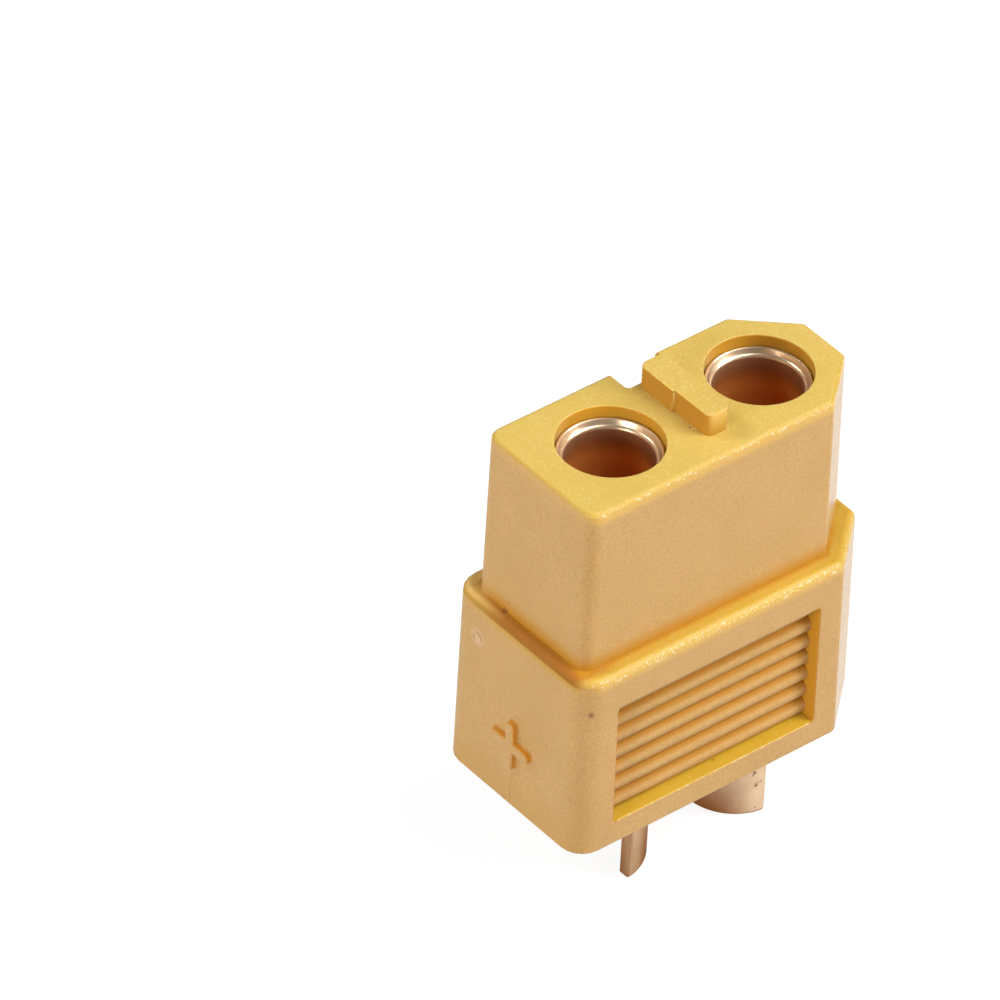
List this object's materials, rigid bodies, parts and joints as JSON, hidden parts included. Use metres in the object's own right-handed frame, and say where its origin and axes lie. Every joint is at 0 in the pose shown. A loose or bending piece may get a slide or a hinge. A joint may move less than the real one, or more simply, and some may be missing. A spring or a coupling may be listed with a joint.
{
  "type": "two-pole power connector socket",
  "caption": "Keyed power connector socket: stepped chamfered housing with a ribbed grip panel, gold sleeve contacts and half-round solder cups.",
  "frame": {"origin": "centre of the bounding box at the level of the solder cups' ends, which the part stands on", "axes": "+Z towards the mating face, +X towards the chamfered negative end, -Y towards the long face with the grip panel"},
  "size_m": [0.0152, 0.0082, 0.0213],
  "materials": {
    "nylon": "amber nylon with fine spark-eroded grain",
    "contact_gold": "turned brass with a thin rose-gold plating"
  },
  "bodies": {
    "root": {"housing": "nylon", "contact_positive": "contact_gold", "contact_negative": "contact_gold"}
  },
  "joints": []
}
